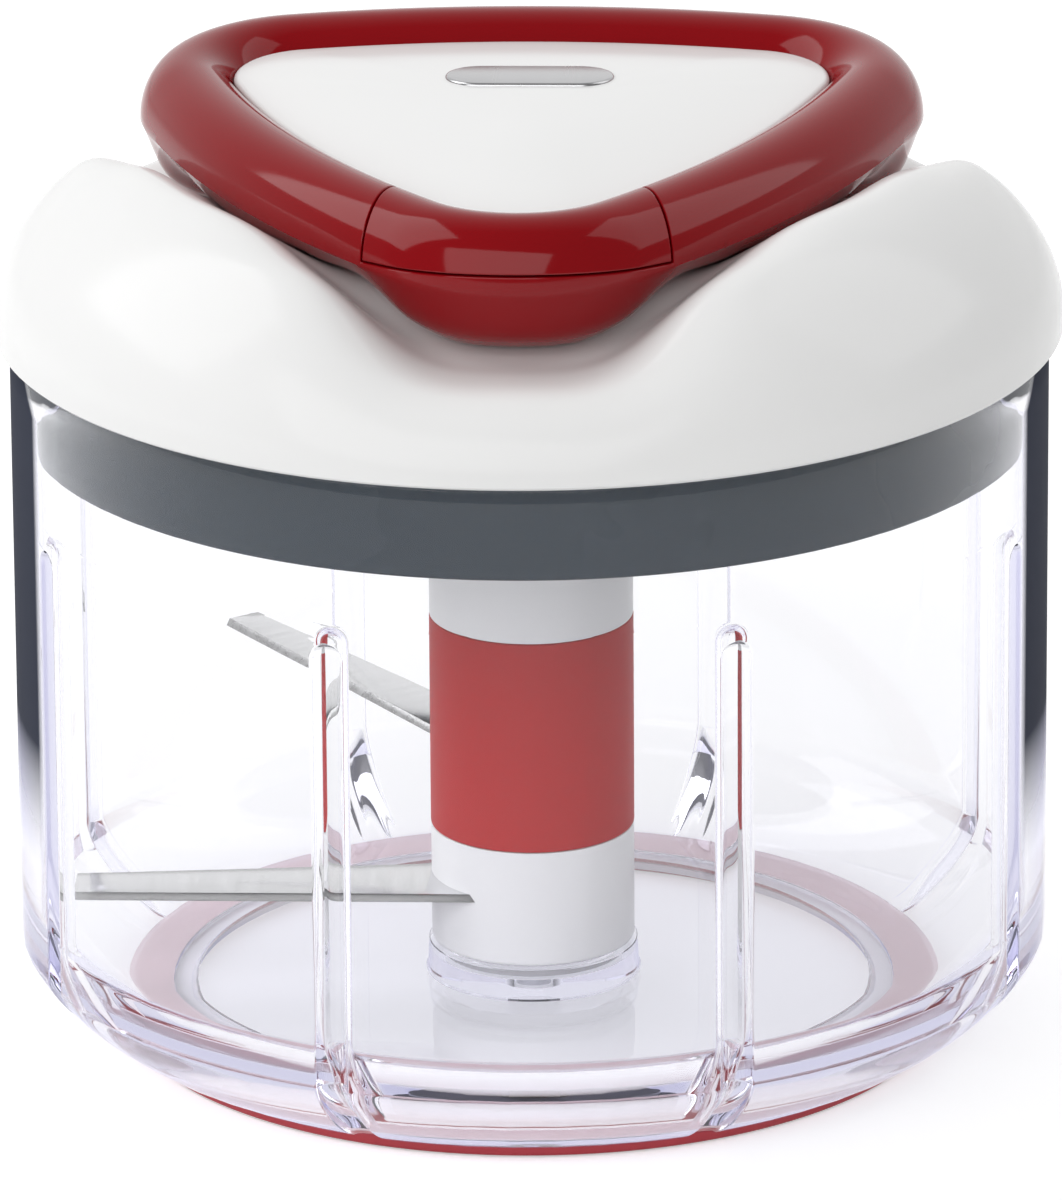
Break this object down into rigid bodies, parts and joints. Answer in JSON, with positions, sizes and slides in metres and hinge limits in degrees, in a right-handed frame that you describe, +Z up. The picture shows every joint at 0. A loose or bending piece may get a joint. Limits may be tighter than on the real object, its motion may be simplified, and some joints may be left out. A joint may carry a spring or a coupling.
{
  "type": "manual food chopper",
  "caption": "Pull-cord manual food chopper: round clear bowl, lobed lid, triangular finger ring whose front corner is the pull handle, and a hub with steel blades.",
  "frame": {"origin": "middle of the flat rest face under the foot ring, on the blade axis", "axes": "+Z up along the blade axis; -Y is the front, where the pull handle sits and the cord comes out"},
  "size_m": [0.13, 0.13, 0.119],
  "materials": {
    "clear_plastic": "clear gloss",
    "white_plastic": "gloss",
    "white_inner_plastic": "satin",
    "red_plastic": "gloss",
    "red_band_plastic": "matte",
    "red_rubber": "matte",
    "slate_plastic": "satin",
    "black_plastic": "satin",
    "steel": "polished",
    "spring_steel": "rolled",
    "cord_fibre": "braided"
  },
  "bodies": {
    "bowl_unit": {"bowl": "clear_plastic", "base_ring": "red_rubber", "centre_pin": "steel"},
    "hub_foot": {"foot_washer": "black_plastic"},
    "blade_hub": {"hub_column": "white_inner_plastic", "hub_sleeve": "red_band_plastic", "drive_socket": "slate_plastic", "lower_blade": "steel", "upper_blade": "steel"},
    "lid_unit": {"lid_cover": "white_plastic", "lid_collar": "slate_plastic", "lid_screw_a": "steel", "lid_screw_b": "steel", "lid_screw_c": "steel", "handle_ring": "red_plastic", "centre_cap": "white_plastic", "cap_inlay": "steel", "cord_guide": "steel", "reel_axle": "steel", "spring_case": "slate_plastic", "recoil_spring": "spring_steel", "shaft_bush": "black_plastic"},
    "reel_unit": {"reel": "white_inner_plastic", "cord_winding": "cord_fibre", "pawl_ring": "white_inner_plastic"},
    "drive_unit": {"drive_shaft": "steel", "ratchet_wheel": "slate_plastic"},
    "handle_unit": {"pull_handle": "red_plastic", "cord_stop": "slate_plastic", "pull_cord": "cord_fibre"}
  },
  "joints": [
    {"name": "lid_lift", "type": "slide", "parent": "bowl_unit", "child": "lid_unit", "axis": [0, 0, 1], "range_m": [0, 0.2]},
    {"name": "hub_lift", "type": "slide", "parent": "bowl_unit", "child": "hub_foot", "axis": [0, 0, 1], "range_m": [0, 0.08]},
    {"name": "blade_spin", "type": "hinge", "parent": "hub_foot", "child": "blade_hub", "pos_m": [0, 0, 0.01], "axis": [0, 0, 1], "range_deg": [0, 841]},
    {"name": "handle_pull", "type": "slide", "parent": "lid_unit", "child": "handle_unit", "axis": [0, -1, 0], "range_m": [0, 0.27], "stiffness_N_per_m": 12, "springref_m": -0.16, "deforming": ["pull_cord"]},
    {"name": "reel_spin", "type": "hinge", "parent": "lid_unit", "child": "reel_unit", "pos_m": [0, 0, 0.1], "axis": [0, 0, 1], "range_deg": [0, 841]},
    {"name": "drive_spin", "type": "hinge", "parent": "lid_unit", "child": "drive_unit", "pos_m": [0, 0, 0.08], "axis": [0, 0, 1], "range_deg": [0, 841]}
  ],
  "couplings": [
    {"joint": "hub_lift", "follows": "lid_lift", "ratio": 0.4},
    {"joint": "reel_spin", "follows": "handle_pull", "rad_per_m": 54.348},
    {"joint": "drive_spin", "follows": "handle_pull", "rad_per_m": 54.348},
    {"joint": "blade_spin", "follows": "handle_pull", "rad_per_m": 54.348}
  ]
}
